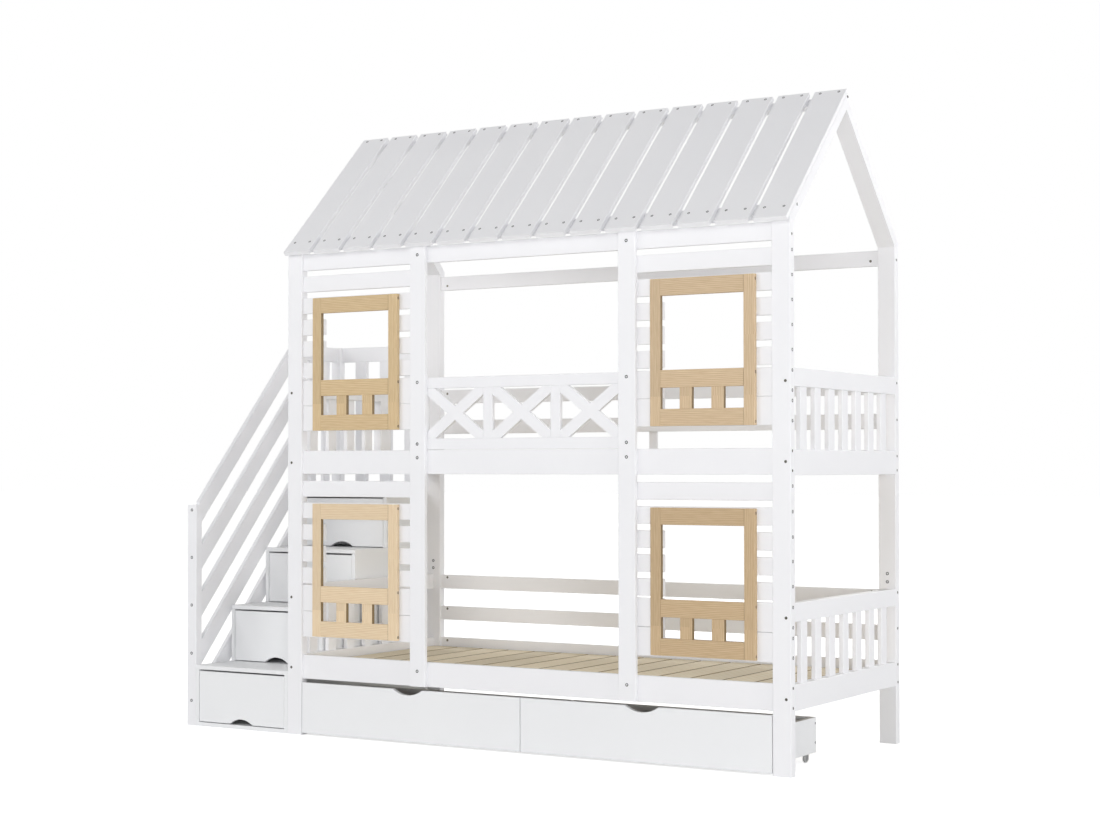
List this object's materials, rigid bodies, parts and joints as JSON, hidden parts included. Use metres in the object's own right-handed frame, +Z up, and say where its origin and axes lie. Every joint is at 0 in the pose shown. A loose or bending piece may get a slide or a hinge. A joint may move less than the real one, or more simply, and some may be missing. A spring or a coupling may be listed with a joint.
{
  "type": "bunk bed",
  "caption": "House-shaped bunk bed with a slatted half roof, framed windows, a crossed guard, box stairs with drawers and a landing, and rolling drawers under the lower bed.",
  "frame": {"origin": "on the floor, under the middle of the bounding box", "axes": "+X to the right along the bed, away from the stairs; +Y from the front to the rear; +Z up"},
  "size_m": [2.581, 0.9998, 2.3305],
  "materials": {
    "white_painted_pine": "satin white paint on pine",
    "white_painted_panel": "satin white paint on board",
    "natural_pine": "clear lacquered pine",
    "dark_steel": "blackened steel",
    "zinc_plated_steel": "zinc plated",
    "grey_plastic": "light grey moulded plastic"
  },
  "bodies": {
    "frame": {"barrel_nuts": "dark_steel", "bed_slats": "natural_pine", "cross_guard": "white_painted_pine", "frame_bolts": "dark_steel", "front_left_lower_post": "white_painted_pine", "front_left_upper_post": "white_painted_pine", "front_right_lower_post": "white_painted_pine", "front_right_upper_post": "white_painted_pine", "front_top_beam": "white_painted_pine", "handrail_boards": "white_painted_pine", "handrail_posts": "white_painted_pine", "landing_guards": "white_painted_pine", "left_gable_rafters": "white_painted_pine", "lower_front_side_rail": "white_painted_pine", "lower_left_end_board": "white_painted_pine", "lower_left_wall_boards": "white_painted_pine", "lower_left_window": "natural_pine", "lower_rear_guard_rails": "white_painted_pine", "lower_rear_side_rail": "white_painted_pine", "lower_right_end_board": "white_painted_pine", "lower_right_wall_boards": "white_painted_pine", "lower_right_window": "natural_pine", "middle_posts": "white_painted_pine", "rear_left_lower_post": "white_painted_pine", "rear_left_upper_post": "white_painted_pine", "rear_right_lower_post": "white_painted_pine", "rear_right_upper_post": "white_painted_pine", "rear_top_beam": "white_painted_pine", "right_gable_rafters": "white_painted_pine", "roof_battens": "white_painted_pine", "roof_boards": "white_painted_pine", "slat_ledges": "white_painted_pine", "stair_base_and_back": "white_painted_panel", "stair_side_panels": "white_painted_panel", "stair_treads": "white_painted_panel", "upper_front_side_rail": "white_painted_pine", "upper_left_end_board": "white_painted_pine", "upper_left_wall_boards": "white_painted_pine", "upper_left_window": "natural_pine", "upper_rear_guard_rails": "white_painted_pine", "upper_rear_side_rail": "white_painted_pine", "upper_right_end_board": "white_painted_pine", "upper_right_wall_boards": "white_painted_pine", "upper_right_window": "natural_pine"},
    "left_bed_drawer": {"left_bed_drawer": "white_painted_panel", "left_drawer_caster_forks": "zinc_plated_steel"},
    "right_bed_drawer": {"right_bed_drawer": "white_painted_panel", "right_drawer_caster_forks": "zinc_plated_steel"},
    "left_drawer_front_left_wheel": {"left_drawer_front_left_wheel": "grey_plastic"},
    "left_drawer_front_right_wheel": {"left_drawer_front_right_wheel": "grey_plastic"},
    "left_drawer_rear_left_wheel": {"left_drawer_rear_left_wheel": "grey_plastic"},
    "left_drawer_rear_right_wheel": {"left_drawer_rear_right_wheel": "grey_plastic"},
    "right_drawer_front_left_wheel": {"right_drawer_front_left_wheel": "grey_plastic"},
    "right_drawer_front_right_wheel": {"right_drawer_front_right_wheel": "grey_plastic"},
    "right_drawer_rear_left_wheel": {"right_drawer_rear_left_wheel": "grey_plastic"},
    "right_drawer_rear_right_wheel": {"right_drawer_rear_right_wheel": "grey_plastic"},
    "stair_drawer_1": {"stair_drawer_1": "white_painted_panel"},
    "stair_drawer_2": {"stair_drawer_2": "white_painted_panel"},
    "stair_drawer_3": {"stair_drawer_3": "white_painted_panel"},
    "stair_drawer_4": {"stair_drawer_4": "white_painted_panel"}
  },
  "joints": [
    {"name": "left_bed_drawer_slide", "type": "slide", "parent": "frame", "child": "left_bed_drawer", "axis": [0, -1, 0], "range_m": [0, 0.36]},
    {"name": "right_bed_drawer_slide", "type": "slide", "parent": "frame", "child": "right_bed_drawer", "axis": [0, -1, 0], "range_m": [0, 0.36]},
    {"name": "left_drawer_front_left_wheel_spin", "type": "hinge", "parent": "left_bed_drawer", "child": "left_drawer_front_left_wheel", "pos_m": [-0.6895, -0.41011, 0.015], "axis": [1, 0, 0], "continuous": true},
    {"name": "left_drawer_front_right_wheel_spin", "type": "hinge", "parent": "left_bed_drawer", "child": "left_drawer_front_right_wheel", "pos_m": [0.218, -0.41011, 0.015], "axis": [1, 0, 0], "continuous": true},
    {"name": "left_drawer_rear_left_wheel_spin", "type": "hinge", "parent": "left_bed_drawer", "child": "left_drawer_rear_left_wheel", "pos_m": [-0.6895, -0.12711, 0.015], "axis": [1, 0, 0], "continuous": true},
    {"name": "left_drawer_rear_right_wheel_spin", "type": "hinge", "parent": "left_bed_drawer", "child": "left_drawer_rear_right_wheel", "pos_m": [0.218, -0.12711, 0.015], "axis": [1, 0, 0], "continuous": true},
    {"name": "right_drawer_front_left_wheel_spin", "type": "hinge", "parent": "right_bed_drawer", "child": "right_drawer_front_left_wheel", "pos_m": [0.283, -0.41011, 0.015], "axis": [1, 0, 0], "continuous": true},
    {"name": "right_drawer_front_right_wheel_spin", "type": "hinge", "parent": "right_bed_drawer", "child": "right_drawer_front_right_wheel", "pos_m": [1.1905, -0.41011, 0.015], "axis": [1, 0, 0], "continuous": true},
    {"name": "right_drawer_rear_left_wheel_spin", "type": "hinge", "parent": "right_bed_drawer", "child": "right_drawer_rear_left_wheel", "pos_m": [0.283, -0.12711, 0.015], "axis": [1, 0, 0], "continuous": true},
    {"name": "right_drawer_rear_right_wheel_spin", "type": "hinge", "parent": "right_bed_drawer", "child": "right_drawer_rear_right_wheel", "pos_m": [1.1905, -0.12711, 0.015], "axis": [1, 0, 0], "continuous": true},
    {"name": "stair_drawer_1_slide", "type": "slide", "parent": "frame", "child": "stair_drawer_1", "axis": [0, -1, 0], "range_m": [0, 0.67]},
    {"name": "stair_drawer_2_slide", "type": "slide", "parent": "frame", "child": "stair_drawer_2", "axis": [0, -1, 0], "range_m": [0, 0.5]},
    {"name": "stair_drawer_3_slide", "type": "slide", "parent": "frame", "child": "stair_drawer_3", "axis": [0, -1, 0], "range_m": [0, 0.34]},
    {"name": "stair_drawer_4_slide", "type": "slide", "parent": "frame", "child": "stair_drawer_4", "axis": [0, -1, 0], "range_m": [0, 0.18]}
  ]
}
